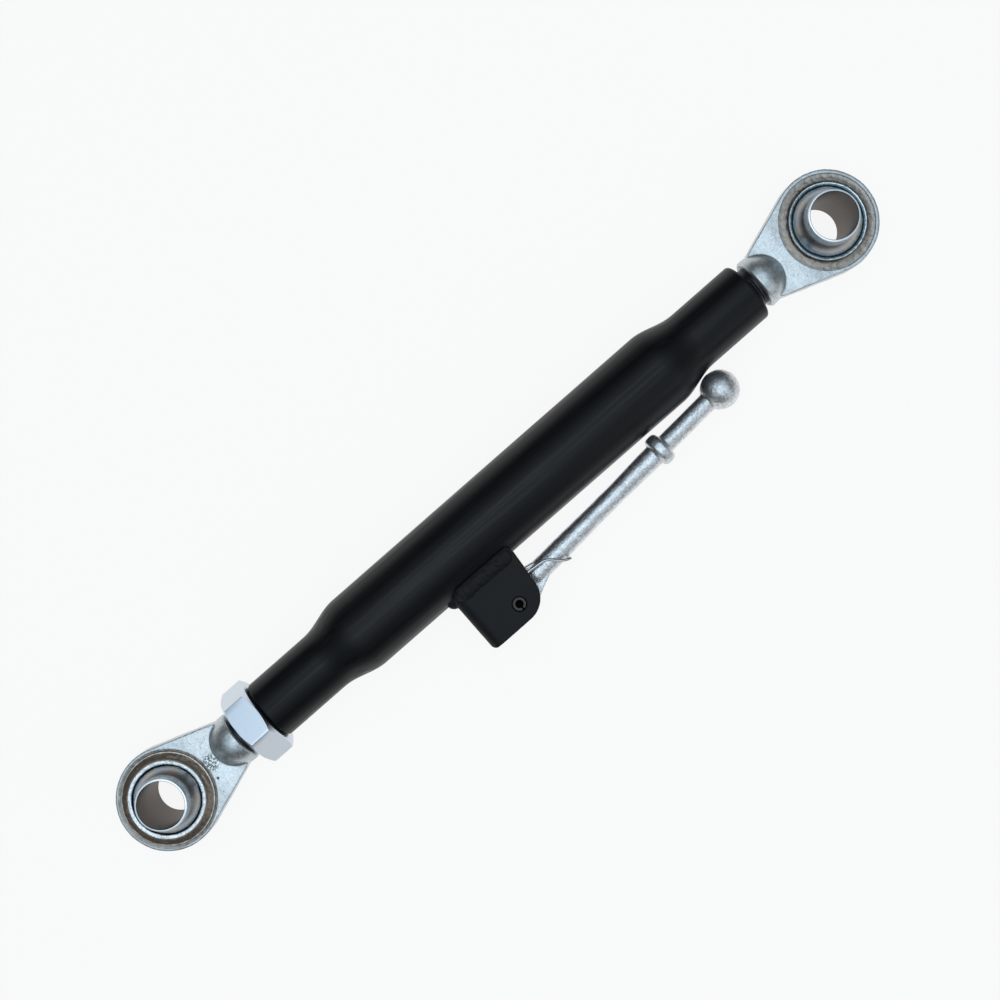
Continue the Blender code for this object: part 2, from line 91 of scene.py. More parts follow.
colours = {
    "tubeDark": (0.0018, 0.0022, 0.0032),
    "tubePale": (0.0034, 0.0041, 0.0058),
    "tubeDust": (0.05, 0.05, 0.05),
    "bracketDark": (0.008, 0.0088, 0.0102),
    "bracketPale": (0.0135, 0.0147, 0.0168),
    "forgedDark": (0.5, 0.54, 0.56),
    "forgedPale": (0.72, 0.78, 0.8),
    "castDark": (0.5, 0.53, 0.55),
    "castPale": (0.95, 0.98, 1.0),
    "zincStain": (0.4, 0.34, 0.28),
    "zincPit": (0.1, 0.1, 0.105),
    "socketDirt": (0.12, 0.115, 0.11),
    "socketHaze": (0.42, 0.4, 0.38),
    "shadowed": (0.015, 0.025, 0.04),
    # the lip's top: worn bright, and lifted further as a painted highlight
    "worn": (0.9, 0.96, 0.98),
    # a painted brown reflection on the lower eye's cone
    "pressed": (0.32, 0.255, 0.2),
    "coneDull": (0.7, 0.7, 0.66),
    # a painted dark reflection at the step down, and a painted brown reflection in the groove inside the
    # lower eye's rim
    "coneDark": (0.26, 0.225, 0.19),
    "coneBrown": (0.34, 0.3, 0.27),
    # a painted highlight on the lower eye's rim
    "coneBright": (0.86, 0.91, 0.93),
    # painted shade in the gap inside the upper eye's lip, with a painted bluish reflection
    "burrDark": (0.1, 0.19, 0.24),
    "burrBlue": (0.16, 0.27, 0.33),
    # painted shade at the foot of the upper eye's lip
    "dishDark": (0.14, 0.12, 0.1),
    # a painted brown reflection across the upper eye's dish, paler outwards
    "dishBrown": (0.3, 0.265, 0.23),
    "dishPale": (0.42, 0.39, 0.35),
    # painted shade at the foot of the step inside the upper eye's rim
    "dishEdge": (0.1, 0.09, 0.09),
    # a painted highlight on the upper eye's rim
    "dishRim": (0.6, 0.66, 0.7),
    "ballBlue": (0.3, 0.345, 0.4),
    # a painted brown reflection in the ball's clouds
    "ballBrown": (0.42, 0.385, 0.34),
    "ballWorn": (0.55, 0.58, 0.6),
    "ballRim": (0.74, 0.79, 0.83),
    # painted shade inside the ball's bore
    "boreDark": (0.07, 0.055, 0.045),
    "borePale": (0.12, 0.1, 0.085),
    "nutDark": (0.63, 0.69, 0.76),
    "nutPale": (0.71, 0.77, 0.84),
    "nutSpeck": (0.3, 0.32, 0.35),
    # painted shade in the thread's roots
    "threadRoot": (0.05, 0.05, 0.055),
    "threadCrest": (0.8, 0.84, 0.88),
    # painted shade: the near black plug in the pin's bore
    "clogDark": (0.0012, 0.0012, 0.0012),
    "clogPale": (0.004, 0.004, 0.004),
    "wireDark": (0.42, 0.43, 0.45),
    "wirePale": (0.7, 0.71, 0.73),
    "pinDark": (0.03, 0.028, 0.026),
    "pinPale": (0.085, 0.08, 0.075),
    "floor": (0.93, 0.93, 0.93),
    "white": (1.0, 1.0, 1.0),
    "zenith": (0.58, 0.7, 0.8),
    "horizon": (0.07, 0.065, 0.06),
    "lamp": (0.88, 0.95, 1.0),
}


# Shader helpers


class Wire:
    # A shader socket on which Python's own operators work
    def __init__(self, kit, socket):
        self.kit = kit
        self.socket = socket

    def maths(self, operation, first, second):
        return self.kit.add("ShaderNodeMath", {"operation": operation}, {0: first, 1: second})

    def __add__(self, other):
        return self.maths("ADD", self, other)

    __radd__ = __add__

    def __sub__(self, other):
        return self.maths("SUBTRACT", self, other)

    def __rsub__(self, other):
        return self.maths("SUBTRACT", other, self)

    def __mul__(self, other):
        return self.maths("MULTIPLY", self, other)

    __rmul__ = __mul__


def tone(value):
    # A wire stays as it is, and the name of a colour becomes its four numbers
    return value if isinstance(value, Wire) else (*colours[value], 1)


class Finish:
    # A material, or the world, and the nodes that make it
    def __init__(self, name, kept=bpy.data.materials):
        self.owner = kept.new(name)
        self.owner.use_nodes = True
        self.tree = self.owner.node_tree
        self.shader = self.tree.nodes.get("Principled BSDF") or self.tree.nodes["Background"]

    def add(self, kind, settings=None, sockets=None, out=0):
        node = self.tree.nodes.new(kind)
        for key, value in (settings or {}).items():
            if key == "stops":
                for stop in value[2:]:
                    node.color_ramp.elements.new(stop[0])
                for element, (share, colour) in zip(node.color_ramp.elements, value):
                    element.position = share
                    element.color = tone(colour)
            else:
                setattr(node, key, value)
        for key, value in (sockets or {}).items():
            self.put(node.inputs[key], value)
        return Wire(self, node.outputs[out])

    def put(self, socket, value):
        if isinstance(value, Wire):
            self.tree.links.new(value.socket, socket)
        elif value is not None:
            socket.default_value = value

    def place(self):
        return self.add("ShaderNodeTexCoord", out="Object")

    def vector(self, operation, first, second=None, out=0):
        return self.add("ShaderNodeVectorMath", {"operation": operation}, {0: first, 1: second}, out)

    def scaled(self, vector, stretch):
        return self.vector("MULTIPLY", vector, stretch)

    def awayFrom(self, vector, centre, across=(1, 1, 1)):
        # Distance from a place, or from the line through it along the axis that across leaves out
        apart = self.vector("SUBTRACT", vector, tuple(centre))
        return self.vector("LENGTH", self.scaled(apart, across), out="Value")

    def grain(self, vector, size, detail=3, rough=0.55):
        # Cloudy noise whose lumps are about size across, in metres
        values = {"Vector": vector, "Scale": 1 / size, "Detail": detail, "Roughness": rough}
        return self.add("ShaderNodeTexNoise", None, values)

    def ease(self, value, low, high):
        # 0 below low and 1 above high, or the other way round where low is the larger
        values = {0: value, 1: low, 2: high, 3: 0.0, 4: 1.0}
        return self.add("ShaderNodeMapRange", {"interpolation_type": "SMOOTHSTEP"}, values)

    def blend(self, share, first, second):
        values = {0: share, 6: tone(first), 7: tone(second)}
        return self.add("ShaderNodeMix", {"data_type": "RGBA"}, values, out=2)

    def bump(self, height, distance, strength=1.0, below=None):
        values = {"Height": height, "Distance": distance, "Strength": strength, "Normal": below}
        return self.add("ShaderNodeBump", None, values)

    def done(self, base, **sockets):
        names = {"metal": "Metallic", "rough": "Roughness", "normal": "Normal"}
        names["gloss"] = "Specular IOR Level"
        self.put(self.shader.inputs["Base Color"], tone(base))
        for key, value in sockets.items():
            self.put(self.shader.inputs[names[key]], value)
        return self.owner


# Mesh helpers

usualCrease = 35  # degrees between two faces at which their edge is shaded sharp
meshing = {
    "softCrease": 80,  # the same where corners are melted
    "joinWithin": 0.0002 * mm,
    "rimSteps": 3,
    "bevelAngle": 35,
    "bevelSteps": 2,
    "smoothing": 0.5,
}


def shaded(mesh, crease):
    mesh.shade_smooth()
    mesh.set_sharp_from_angle(angle=math.radians(crease))


def newObject(name, data):
    body = bpy.data.objects.new(name, data)
    bpy.context.scene.collection.objects.link(body)
    return body


def fromShape(name, shape, finishes=(), crease=usualCrease):
    mesh = bpy.data.meshes.new(name)
    shape.to_mesh(mesh)
    shape.free()
    shaded(mesh, crease)
    for finish in finishes:
        mesh.materials.append(finish)
    return newObject(name, mesh)


def grid(
    name, rows, finishes=(), around=True, joined=False, capped=False, filled=False, crease=usualCrease
):
    # A skin over rows of points. Rows close on themselves, and the last may meet the first.
    # capped closes the first and last row, and filled closes what is open once points are joined.
    rows = np.asarray(rows, float)
    count, width = rows.shape[:2]
    shape = bmesh.new()
    points = [[shape.verts.new(p) for p in row] for row in rows]
    for i in range(count if joined else count - 1):
        near, far = points[i], points[(i + 1) % count]
        for j in range(width if around else width - 1):
            k = (j + 1) % width
            shape.faces.new((near[j], near[k], far[k], far[j]))
    if capped:
        shape.faces.new(points[0])
        shape.faces.new(points[-1])
    bmesh.ops.remove_doubles(shape, verts=shape.verts, dist=meshing["joinWithin"])
    if filled:
        bmesh.ops.holes_fill(shape, edges=shape.edges[:])
    bmesh.ops.recalc_face_normals(shape, faces=shape.faces)
    return fromShape(name, shape, finishes, crease)


def ringRows(along, radius, sides):
    angles = 2 * math.pi * np.arange(sides) / sides
    radii = radius[:, None]
    return np.repeat(along[:, None], sides, 1), radii * np.cos(angles), radii * np.sin(angles)


def turnedX(name, profile, sides, centre, finishes=(), joined=False, tilt=0.0):
    # Turned about X from (x, radius) points, then tilted about Z
    along, radius = np.array(profile).T
    x, y, z = ringRows(along, radius, sides)
    c, s = math.cos(tilt), math.sin(tilt)
    rows = np.stack([c * x - s * y, s * x + c * y, z], 2) + np.array(centre)
    return grid(name, rows, finishes, joined=joined)


def turnedZ(name, profile, sides, centre, finishes=(), joined=False, crease=usualCrease):
    # Turned about Z from (radius, z) points
    radius, up = np.array(profile).T
    z, x, y = ringRows(up, radius, sides)
    rows = np.stack([x, y, z], 2) + np.array(centre)
    return grid(name, rows, finishes, joined=joined, crease=crease)


def extruded(name, outline, bottom, top, edge=0.0):
    shape = bmesh.new()
    low = shape.faces.new([shape.verts.new((x, y, bottom)) for x, y in outline])
    raised = bmesh.ops.extrude_face_region(shape, geom=[low])["geom"]
    lifted = [item for item in raised if isinstance(item, bmesh.types.BMVert)]
    bmesh.ops.translate(shape, verts=lifted, vec=(0, 0, top - bottom))
    bmesh.ops.recalc_face_normals(shape, faces=shape.faces)
    if edge:
        rims = [e for e in shape.edges if abs(e.verts[0].co.z - e.verts[1].co.z) < mm / 100]
        steps = meshing["rimSteps"]
        bmesh.ops.bevel(shape, geom=rims, offset=edge, segments=steps, profile=0.5, affect="EDGES")
    return fromShape(name, shape)


def arc(centreX, centreY, radius, start, end, steps):
    turns = np.radians(np.linspace(start, end, steps + 1))
    return list(zip(centreX + radius * np.cos(turns), centreY + radius * np.sin(turns)))


def mirrored(points):
    # The points on the other side of the first axis, from the last to the first
    return [(along, -out) for along, out in reversed(points)]


def bent(start, corner, end, share):
    # A point on the curve that leaves start towards the corner and turns to end
    return start * (1 - share) ** 2 + corner * 2 * share * (1 - share) + end * share**2


def applied(body):
    bpy.context.view_layer.update()
    graph = bpy.context.evaluated_depsgraph_get()
    mesh = bpy.data.meshes.new_from_object(body.evaluated_get(graph))
    body.modifiers.clear()
    body.data = mesh


def combine(body, tool, operation):
    step = body.modifiers.new("combine", "BOOLEAN")
    step.operation = operation
    step.solver = "EXACT"
    step.object = tool
    applied(body)
    bpy.data.objects.remove(tool)


def drilled(body, centre, half, sides):
    # Cuts a hole along Z, given by the (radius, z) points of its upper half
    combine(body, turnedZ("drill", mirrored(half) + half, sides, centre), "DIFFERENCE")


def softened(body, voxel, passes):
    # Melts the corners of joined shapes into each other, as a die or paint does
    cast = body.modifiers.new("cast", "REMESH")
    cast.mode = "VOXEL"
    cast.voxel_size = voxel
    cast.use_smooth_shade = True
    smooth = body.modifiers.new("smooth", "SMOOTH")
    smooth.factor = meshing["smoothing"]
    smooth.iterations = passes
    applied(body)
    shaded(body.data, meshing["softCrease"])


def roughened(body, layers, still=None):
    # Moves the points along their normals by layers of noise, each (lump size, height),
    # apart from the points that have to stay still
    mesh = body.data
    spots = [vertex.co.copy() for vertex in mesh.vertices]
    normals = [vertex.normal.copy() for vertex in mesh.vertices]
    moved = []
    for spot, normal in zip(spots, normals):
        push = sum(noise.noise(spot / size) * height for size, height in layers)
        moved.extend(spot if still and still(spot) else spot + normal * push)
    mesh.vertices.foreach_set("co", moved)
    mesh.update()


def bevelled(body, width):
    edge = body.modifiers.new("edge", "BEVEL")
    edge.width = width
    edge.segments = meshing["bevelSteps"]
    edge.limit_method = "ANGLE"
    edge.angle_limit = math.radians(meshing["bevelAngle"])
    applied(body)


def finished(body, finish):
    body.data.materials.clear()
    body.data.materials.append(finish)


def seat(piece, body, node):
    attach(piece, body)
    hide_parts(node)


# Finishes


def tubePaint():
    look = Finish("tubePaint")
    spot = look.place()
    streak = look.grain(look.scaled(spot, (0.02, 1, 1)), 1.7 * mm, 3)
    cloud = look.grain(spot, 22 * mm, 4)
    peel = look.grain(spot, 1.3 * mm, 2)
    speck = look.ease(look.grain(spot, 0.55 * mm, 1), 0.76, 0.82)
    base = look.blend(cloud, "tubeDark", "tubePale")
    base = look.blend(speck * 0.4, base, "tubeDust")
    rough = 0.26 + cloud * 0.1 + look.ease(streak, 0.3, 0.7) * 0.16 + speck * 0.2
    height = look.bump(peel, 0.03 * mm, 0.45)
    height = look.bump(streak, 0.05 * mm, 0.6, height)
    return look.done(base, rough=rough, normal=height, gloss=0.27)


def bracketPaint():
    look = Finish("bracketPaint")
    spot = look.place()
    cloud = look.grain(spot, 9 * mm, 4)
    peel = look.grain(spot, 0.9 * mm, 3, 0.65)
    base = look.blend(cloud, "bracketDark", "bracketPale")
    height = look.bump(peel, 0.07 * mm, 0.6)
    return look.done(base, rough=0.5 + cloud * 0.14, normal=height, gloss=0.22)


def zincSkin(name, pale, dark, roughness, pitting, pit=None, chips=None):
    # Zinc over a forged or cast skin, in places with one pit and a patch of chips
    look = Finish(name)
    spot = look.place()
    cloud = look.grain(spot, 5 * mm, 5, 0.6)
    mottle = look.grain(spot, 1.1 * mm, 4, 0.65)
    fine = look.grain(spot, 0.3 * mm, 3, 0.6)
    pits = look.ease(look.grain(spot, 0.8 * mm, 2), 0.33, 0.25)
    if pit:
        pits = pits + look.ease(look.awayFrom(spot, pit), 0.8 * mm, 0.5 * mm) * 1.3
        patch = look.ease(look.awayFrom(spot, chips), 6.5 * mm, 2.5 * mm)
        pits = pits + patch * look.ease(mottle, 0.52, 0.42) * 0.9
    stain = look.ease(look.grain(spot, 9 * mm, 5, 0.7), 0.52, 0.7)
    base = look.blend(look.ease(mottle, 0.35, 0.7), dark, pale)
    base = look.blend(look.ease(cloud, 0.35, 0.75) * 0.45, base, pale)
    base = look.blend(stain * 0.35, base, "zincStain")
    base = look.blend(pits * 0.7, base, "zincPit")
    rough = roughness - 0.05 + mottle * 0.16 + pits * 0.2
    height = look.bump(fine, 0.05 * mm, 0.5 * pitting)
    height = look.bump(mottle, 0.14 * mm, 0.7 * pitting, height)
    height = look.bump(1 - pits, 0.12 * mm, pitting, height)
    return look.done(base, metal=0.95, rough=rough, normal=height)


def socketZinc(name, centre, rings):
    # Zinc in rings round a ball, each ring given as (radius in mm, colour). The rings hold painted shade
    # in the gaps and corners, painted highlights on the lip, which is also worn bright, and on the rims,
    # and painted brown reflections on the slopes between
    look = Finish(name)
    spot = look.place()
    away = look.awayFrom(spot, centre, (1, 1, 0))
    mottle = look.grain(spot, 0.9 * mm, 4, 0.65)
    cloud = look.grain(spot, 7 * mm, 3)
    wobble = (cloud - 0.5) * 0.5 * mm + (mottle - 0.5) * 0.35 * mm
    near, far = rings[0][0] * mm, rings[-1][0] * mm
    stops = [((radius * mm - near) / (far - near), colour) for radius, colour in rings]
    share = (away + wobble - near) * (1 / (far - near))
    # the ramp paints shade, highlights and brown reflections in rings by radius
    base = look.add("ShaderNodeValToRGB", {"stops": stops}, {0: share})
    base = look.blend(look.ease(mottle, 0.5, 0.34) * 0.5, base, "socketDirt")
    base = look.blend(look.ease(cloud, 0.5, 0.75) * 0.3, base, "socketHaze")
    line = look.grain(look.add("ShaderNodeCombineXYZ", None, {0: away, 1: 0.0, 2: 0.0}), 0.35 * mm, 2)
    height = look.bump(line, 0.05 * mm, 0.5)
    height = look.bump(mottle, 0.14 * mm, 0.8, height)
    return look.done(base, metal=0.95, rough=0.3 + mottle * 0.18, normal=height)


def ballSteel(name, centre):
    # Ground steel, clouded with a painted brown reflection, with painted shade inside the bore and bright
    # turned edges
    look = Finish(name)
    spot = look.place()
    away = look.awayFrom(spot, centre, (1, 1, 0))
    rings = look.grain(look.scaled(spot, (0.02, 0.02, 1)), 0.12 * mm, 2)
    cloud = look.grain(spot, 9 * mm, 4)
    wear = look.grain(spot, 1.4 * mm, 4, 0.65)
    rim = look.ease(away, 14.3 * mm, 13.9 * mm)
    # painted shade inside the bore
    bore = look.ease(away, 13.0 * mm, 12.85 * mm)
    # clouds of bluish steel and of a brown tint that is a painted reflection of brown surroundings
    base = look.blend(look.ease(cloud, 0.38, 0.62), "ballBlue", "ballBrown")
    base = look.blend(wear * 0.3, base, "ballWorn")
    base = look.blend(rim, base, "ballRim")
    base = look.blend(bore, base, look.blend(cloud, "boreDark", "borePale"))
    rough = 0.2 + cloud * 0.1 + rings * 0.08 + bore * 0.2
    return look.done(base, metal=1.0, rough=rough, normal=look.bump(rings, 0.02 * mm, 0.5))


def nutZinc():
    look = Finish("nutZinc")
    spot = look.place()
    cloud = look.grain(spot, 7 * mm, 4)
    turning = look.grain(look.scaled(spot, (1, 0.08, 0.08)), 0.25 * mm, 2)
    speck = look.ease(look.grain(spot, 0.5 * mm, 2), 0.7, 0.78)
    base = look.blend(cloud, "nutDark", "nutPale")
    base = look.blend(speck * 0.6, base, "nutSpeck")
    rough = 0.26 + cloud * 0.12 + speck * 0.2
    return look.done(base, metal=1.0, rough=rough, normal=look.bump(turning, 0.025 * mm, 0.4))


def threadZinc():
    look = Finish("threadZinc")
    spot = look.place()
    # painted shade: darker towards the thread's roots
    depth = look.ease(look.awayFrom(spot, tubeMiddle, (0, 1, 1)), 12.6 * mm, 13.45 * mm)
    cloud = look.grain(spot, 4 * mm, 3)
    base = look.blend(depth, "threadRoot", "threadCrest")
    return look.done(base, metal=0.95, rough=0.3 + cloud * 0.15)


def cloudy(name, size, dark, pale, rough, span, **sockets):
    # A small piece's finish, in clouds of two colours, whose roughness grows by span
    look = Finish(name)
    cloud = look.grain(look.place(), size, 3)
    return look.done(look.blend(cloud, dark, pale), rough=rough + cloud * span, **sockets)


flaws = {  # on the lower eye's upper face, from the middle of its ball, in mm
    "pit": Vector((27.6, -9.4, 7.5)),
    "chips": Vector((30, -0.5, 7.5)),
}
paint = tubePaint()
matte = bracketPaint()
pit, chips = (lowerEye + place * mm for place in flaws.values())
forged = zincSkin("forgedZinc", "forgedPale", "forgedDark", 0.36, 0.8, pit, chips)
cast = zincSkin("castZinc", "castPale", "castDark", 0.33, 1.9)
nutFinish = nutZinc()
threadFinish = threadZinc()
wireFinish = cloudy("wireSteel", 1.5 * mm, "wireDark", "wirePale", 0.2, 0.1, metal=1.0)
pinFinish = cloudy("pinSteel", 1.2 * mm, "pinDark", "pinPale", 0.38, 0.15, metal=0.8)
# painted shade for the pin's bore
pinBoreShadeFinish = cloudy("pinBoreShade", 1.5 * mm, "clogDark", "clogPale", 0.8, 0, gloss=0.04)
print("finishes made")


# Barrel tube

tube = {
    "length": 347 * mm,
    "diameter": 44.8 * mm,
    "wall": 4.4 * mm,
    "endDiameter": 35 * mm,
    "endLength": 40 * mm,
    "swage": 26 * mm,
    "edge": 1.8 * mm,
    "bore": 27.6 * mm,
    "mouth": 1.2 * mm,  # the bare chamfer at the thread's mouth
    "bareShare": 0.95,  # how far out on that chamfer the thread's finish goes
    "sides": 144,
}
tubeRadius = tube["diameter"] / 2


def swage(start, end, radiusFrom, radiusTo, steps):
    shares = np.linspace(0, 1, steps + 1)
    drop = (radiusTo - radiusFrom) * (1 - np.cos(math.pi * shares)) / 2
    return list(zip(start + (end - start) * shares, radiusFrom + drop))


def makeTube():
    end, edge, mouth = tube["length"] / 2, tube["edge"], tube["mouth"]
    swageEnd = end - tube["endLength"]
    swageStart = swageEnd - tube["swage"]
    endRadius, bore = tube["endDiameter"] / 2, tube["bore"] / 2
    half = [(0, tubeRadius)] + swage(swageStart, swageEnd, tubeRadius, endRadius, 26)
    half += arc(end - edge, endRadius - edge, edge, 90, 0, 8)
    half += [(end, bore + mouth), (end - mouth, bore)]
    half += swage(swageEnd, swageStart, bore, tubeRadius - tube["wall"], 10)
    profile = half + [(-x, r) for x, r in reversed(half[1:])]
    body = turnedX("barrelTube", profile, tube["sides"], tubeMiddle, (paint, threadFinish), joined=True)
    bare = bore + mouth * tube["bareShare"]
    for face in body.data.polygons:
        if (face.center - tubeMiddle).yz.length < bare:
            face.material_index = 1
    seat(body, "barrel", "barrel_tube")


makeTube()
print("tube made")


# Swivel balls

ball = {
    "diameter": 42 * mm,
    "width": 51 * mm,
    "collar": 28 * mm,
    "bore": 25.6 * mm,
    "fillet": 0.8 * mm,
    "foot": [(0.1 * mm, 0.35 * mm), (0, 0.9 * mm)],  # (out, up) from the sphere's edge to the collar
    "chamfer": 0.5 * mm,
    "edge": [(0, 1), (0.4, 0.15), (1, 0)],  # (inward, down) at the collar's end, in chamfers
    "boreEdge": (0.25 * mm, 0.3 * mm),
    "sides": 180,
}


def makeBall(name, centre, finish):
    half = ball["width"] / 2
    sphere, collar, bore = ball["diameter"] / 2, ball["collar"] / 2, ball["bore"] / 2
    chamfer, (edgeOut, edgeDown) = ball["chamfer"], ball["boreEdge"]
    reach = math.degrees(math.acos((collar + ball["fillet"] / 2) / sphere))
    outer = arc(0, 0, sphere, 0, reach, 26)
    rise = outer[-1][1]
    outer += [(collar + out, rise + up) for out, up in ball["foot"]]
    outer += [(collar - chamfer * inward, half - chamfer * down) for inward, down in ball["edge"]]
    outer += [(bore + edgeOut, half), (bore, half - edgeDown), (bore, 0)]
    profile = mirrored(outer[1:]) + outer
    return turnedZ(name + "Ball", profile, ball["sides"], centre, (finish,), crease=28)


# Forged eyes and staked sockets

eye = {
    "diameter": 57 * mm,
    "plate": 15.2 * mm,
    "edge": 0.45 * mm,
    "neck": 30 * mm,
    "shoulder": 51 * mm,  # from the ball's middle to the end of the neck
    "flank": 8 * mm,  # where the straight flanks end before the shoulder
    "flare": 0.2 * mm,  # how far they stand out from the neck there
    "tail": [(2.6 * mm, 1.7 * mm), 3 * mm],  # how they dip into the neck
    "straight": 3.5 * mm,
    "chamfer": 1 * mm,
    "gap": 0.3 * mm,
    "thinning": 0.18,  # how much thinner the web is at the neck
    "webStart": 24 * mm,
    "webFade": 18 * mm,
    "voxel": 0.4 * mm,
    "passes": 2,
    "lumps": [(9 * mm, 0.14 * mm), (2.5 * mm, 0.06 * mm)],
}
socket = {
    "sink": 0.1 * mm,  # below the plate's face at the rim
    "step": 0.45 * mm,
    "sides": 240,
    "lumps": [(2.2 * mm, 0.18 * mm), (0.9 * mm, 0.16 * mm)],
    "smoothSeat": 0.1 * mm,  # the lumps stay this far off the seat, and off the rim
    "smoothRim": 0.3 * mm,
}
lowerRace = {  # the lip stands on a cone
    "rim": 27.3 * mm,
    "steps": [(0.4, -0.5), (1.7, -0.8), (2.0, -0.1), (2.4, -0.1)],  # (inward, up) from the rim, in mm
    "lip": [
        (22.0, 9.0), (21.4, 9.9), (21.15, 10.5), (20.9, 10.75), (19.5, 10.7), (19.15, 10.45), (18.95, 9.8),
    ],
    # painted shade round the ball, the lip worn bright with a painted highlight, painted brown reflections
    # on the cone and in the groove, and a painted highlight on the rim
    "rings": [
        (18.0, "shadowed"), (18.95, "shadowed"), (19.25, "worn"), (20.95, "worn"),
        (21.4, "pressed"), (24.7, "pressed"), (25.2, "coneDull"), (25.5, "coneDark"),
        (26.7, "coneBrown"), (27.1, "coneBright"),
    ],
}
upperRace = {  # a shallow dish with a thin burr of a lip
    "rim": 26.8 * mm,
    "steps": [(0.3, -0.8), (2.2, -1.0), (4.4, -0.7), (5.2, -0.2)],
    "lip": [
        (21.25, 8.4), (21.1, 9.1), (20.85, 9.35), (20.45, 9.3), (20.2, 9.1), (19.6, 8.95), (19.42, 8.7),
    ],
    # painted shade and a painted bluish reflection inside the lip, the lip worn bright with a painted
    # highlight, painted shade at the lip's foot and at the rim's step, a painted brown reflection across
    # the dish, and a painted highlight on the rim
    "rings": [
        (19.3, "shadowed"), (19.45, "burrDark"), (20.2, "burrBlue"), (20.4, "worn"),
        (21.05, "worn"), (21.3, "dishDark"), (21.9, "dishBrown"), (26.0, "dishPale"),
        (26.4, "dishEdge"), (26.8, "dishRim"),
    ],
}


def eyeOutline():
    # A round end with straight flanks that run to the neck
    ring = eye["diameter"] / 2
    corner = Vector((eye["shoulder"] - eye["flank"], eye["neck"] / 2 + eye["flare"]))
    lean = math.degrees(math.atan2(corner.y, corner.x) + math.acos(ring / corner.length))
    tip = eye["shoulder"] - eye["chamfer"] - eye["gap"]
    (run, dip), drop = eye["tail"]
    half = [tuple(corner), (corner.x + run, corner.y - dip), (tip, corner.y - drop)]
    return mirrored(half) + arc(0, 0, ring, 360 - lean, lean, 90) + half


def makeEye(name, centre, side, race):
    # side is 1 where the rod points to +X and -1 where it points to -X
    face = eye["plate"] / 2
    outline = [(centre.x + side * x, centre.y + side * y) for x, y in eyeOutline()]
    body = extruded(name + "Eye", outline, centre.z - face, centre.z + face, eye["edge"])
    softened(body, eye["voxel"], 1)
    for vertex in body.data.vertices:
        share = min(1, max(0, (side * (vertex.co.x - centre.x) - eye["webStart"]) / eye["webFade"]))
        drop = eye["thinning"] * share * share * (3 - 2 * share)
        vertex.co.z -= (vertex.co.z - centre.z) * drop
    neck, shoulder, chamfer = eye["neck"] / 2, eye["shoulder"], eye["chamfer"]
    dome = arc(shoulder - eye["straight"], 0, neck, 180, 90, 24)
    dome += [(shoulder - chamfer, neck), (shoulder, neck - chamfer), (shoulder, 0)]
    profile = [(side * x, max(r, 0)) for x, r in dome]
    combine(body, turnedX("dome", profile, 96, centre), "UNION")
    softened(body, eye["voxel"], eye["passes"])
    roughened(body, eye["lumps"])
    pocket = race["rim"] - eye["gap"]
    drilled(body, centre, [(pocket, face + mm), (0, face + mm)], 160)
    finished(body, forged)
    return body


def makeSocket(name, centre, race):
    # From the rim inwards: the pressed rings, the lip, and the seat that holds the ball
    face = eye["plate"] / 2 - socket["sink"]
    rim, seatRadius = race["rim"], ball["diameter"] / 2 + eye["gap"]
    half = [(rim, face)]
    half += [(rim - inward * mm, face + up * mm) for inward, up in race["steps"]]
    half += [(radius * mm, z * mm) for radius, z in race["lip"]]
    throat = half[-1][0]
    reach = math.degrees(math.acos(throat / seatRadius)) - 1
    half += arc(0, 0, seatRadius, reach, 0, 10)
    profile = []
    for start, end in zip(half, half[1:]):
        steps = max(1, round(math.dist(start, end) / socket["step"]))
        profile += [tuple(Vector(start).lerp(Vector(end), i / steps)) for i in range(steps)]
    profile += [half[-1]] + mirrored(profile)
    finish = socketZinc(name + "SocketZinc", centre, race["rings"])
    body = turnedZ(name + "Socket", profile, socket["sides"], centre, (finish,), joined=True)

    def smoothPart(point):
        away = Vector((point.x - centre.x, point.y - centre.y)).length
        return away < throat + socket["smoothSeat"] or away > rim - socket["smoothRim"]

    roughened(body, socket["lumps"], smoothPart)
    return body


# Threaded rods

rod = {
    "crest": 13.5 * mm,
    "root": 11.7 * mm,
    "pitch": 3 * mm,
    "length": 155 * mm,
    "chamfer": 1.8 * mm,
    "lead": 0.3 * mm,  # from the shoulder to the first turn
    "shape": [(0, "root"), (0.08, "root"), (0.44, "crest"), (0.56, "crest"), (0.92, "root"), (1, "root")],
    "fade": 0.6,  # turns in which the thread rises from its root at each end
    "steps": 40,
    "coreGap": 0.02 * mm,
    "tip": 0.4 * mm,
    "sides": 64,
}


def makeRod(name, centre, side):
    # One thread profile swept along a helix, over a plain core. X runs with side, so the helix
    # is right-hand on the lower eye and left-hand on the upper one.
    start, length, pitch = eye["shoulder"], rod["length"], rod["pitch"]
    root, fade = rod["root"], rod["fade"]
    turns = int(length / pitch) - 1
    rows = []
    for i in range(turns * rod["steps"] + 1):
        turn = i / rod["steps"]
        angle = 2 * math.pi * turn
        height = min(1, turn / fade, (turns - turn) / fade)
        row = []
        for share, level in rod["shape"]:
            x = start + rod["lead"] + pitch * (turn + share)
            cone = rod["crest"] - rod["chamfer"] + (start + length - x)
            r = root + (min(rod[level], max(cone, root)) - root) * height
            y, z = r * math.cos(angle), r * math.sin(angle)
            row.append((centre.x + side * x, centre.y + y, centre.z + z))
        rows.append(row)
    thread = grid(name + "Thread", rows, (threadFinish,), around=False, filled=True, crease=30)
    core, end, tip = root - rod["coreGap"], start + length, rod["tip"]
    profile = [(start - mm, 0), (start - mm, core), (end - tip, core), (end, core - tip), (end, 0)]
    placed = [(side * x, r) for x, r in profile]
    return thread, turnedX(name + "Core", placed, rod["sides"], centre, (threadFinish,))


